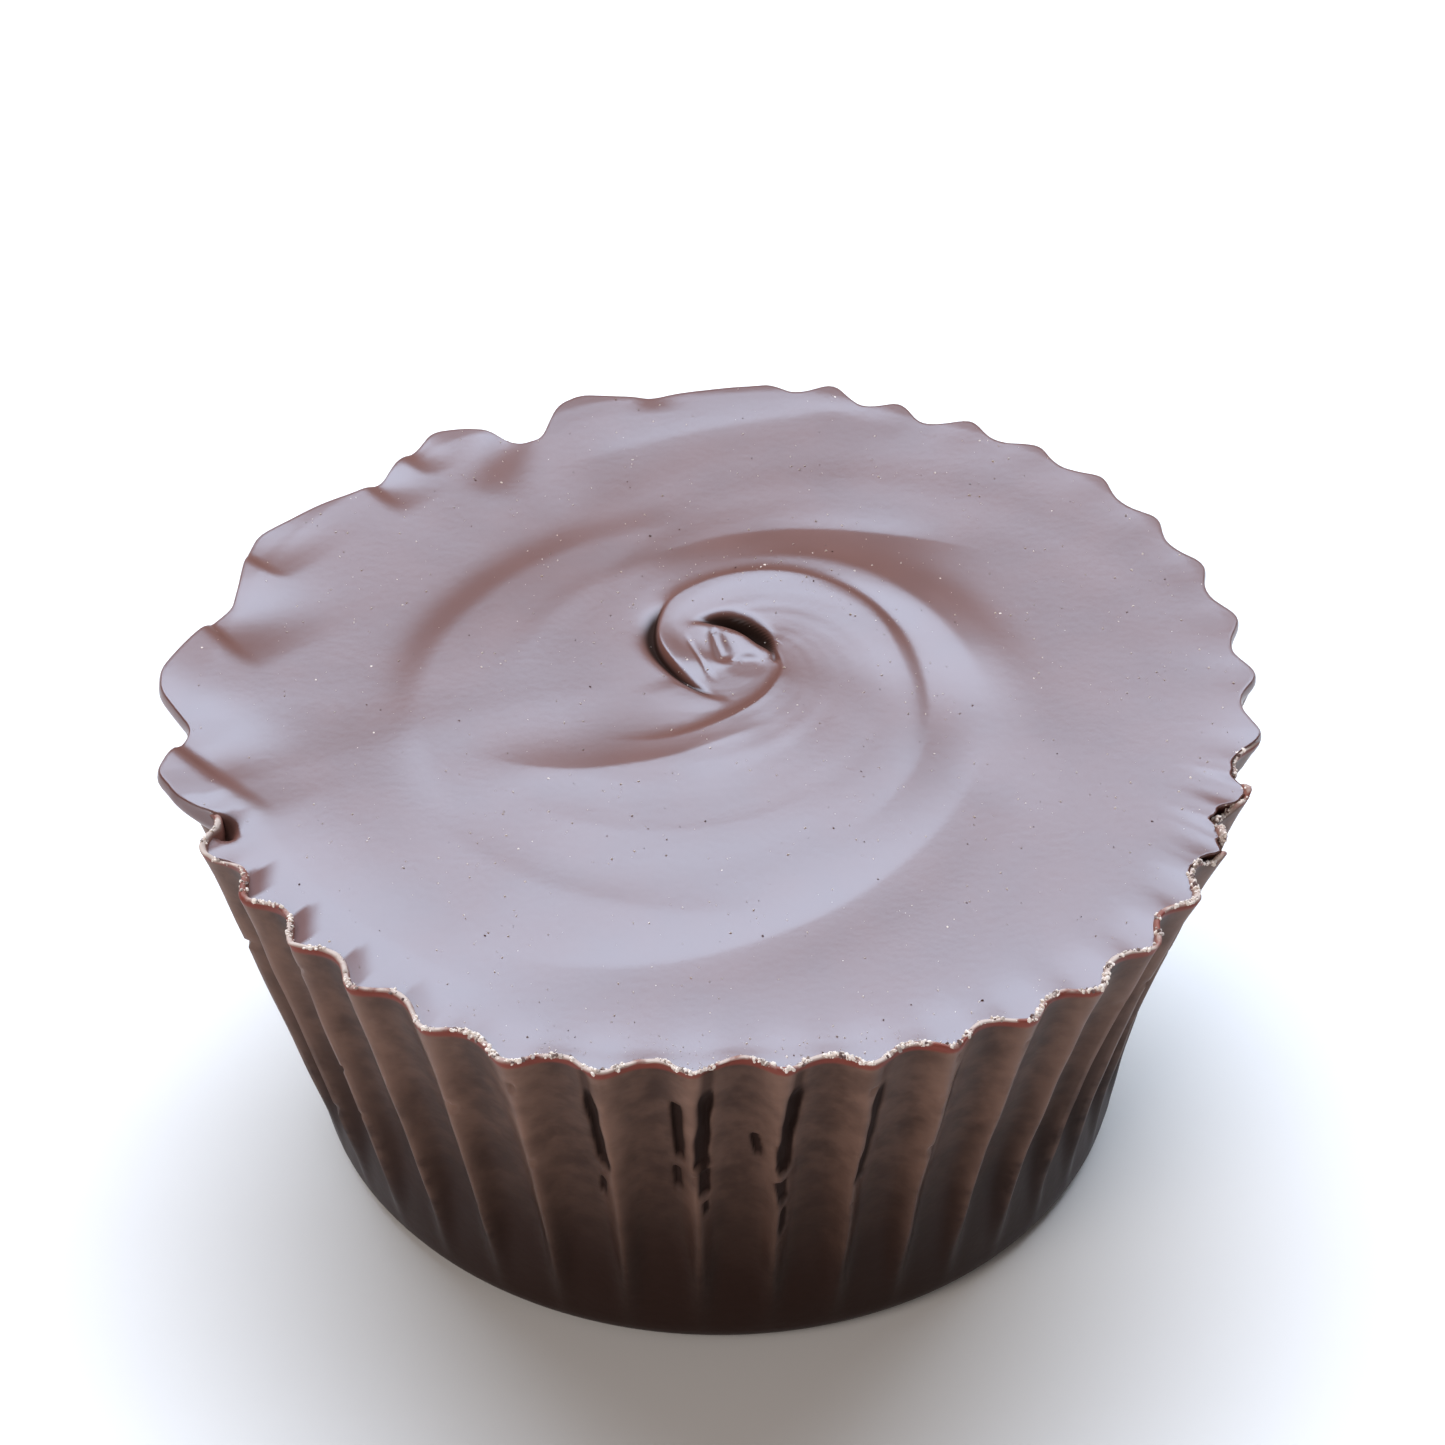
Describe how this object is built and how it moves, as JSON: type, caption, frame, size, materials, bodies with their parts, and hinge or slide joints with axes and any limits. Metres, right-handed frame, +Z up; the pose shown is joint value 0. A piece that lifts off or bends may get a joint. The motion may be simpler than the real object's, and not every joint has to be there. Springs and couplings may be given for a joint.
{
  "type": "chocolate peanut butter cup",
  "caption": "Large unwrapped candy cup of milk chocolate with a fluted flaring wall, wavy rim and swirled top.",
  "frame": {"origin": "on the flat base, at the middle of the outline seen from above", "axes": "+Z up from the base to the swirled top; -Y towards the viewer of the picture, +X to the viewer's right"},
  "size_m": [0.0523, 0.0502, 0.0233],
  "materials": {
    "chocolate": "satin milk chocolate, softly glossy on the top and duller on the cast wall"
  },
  "bodies": {
    "root": {"chocolate_cup": "chocolate"}
  },
  "joints": []
}
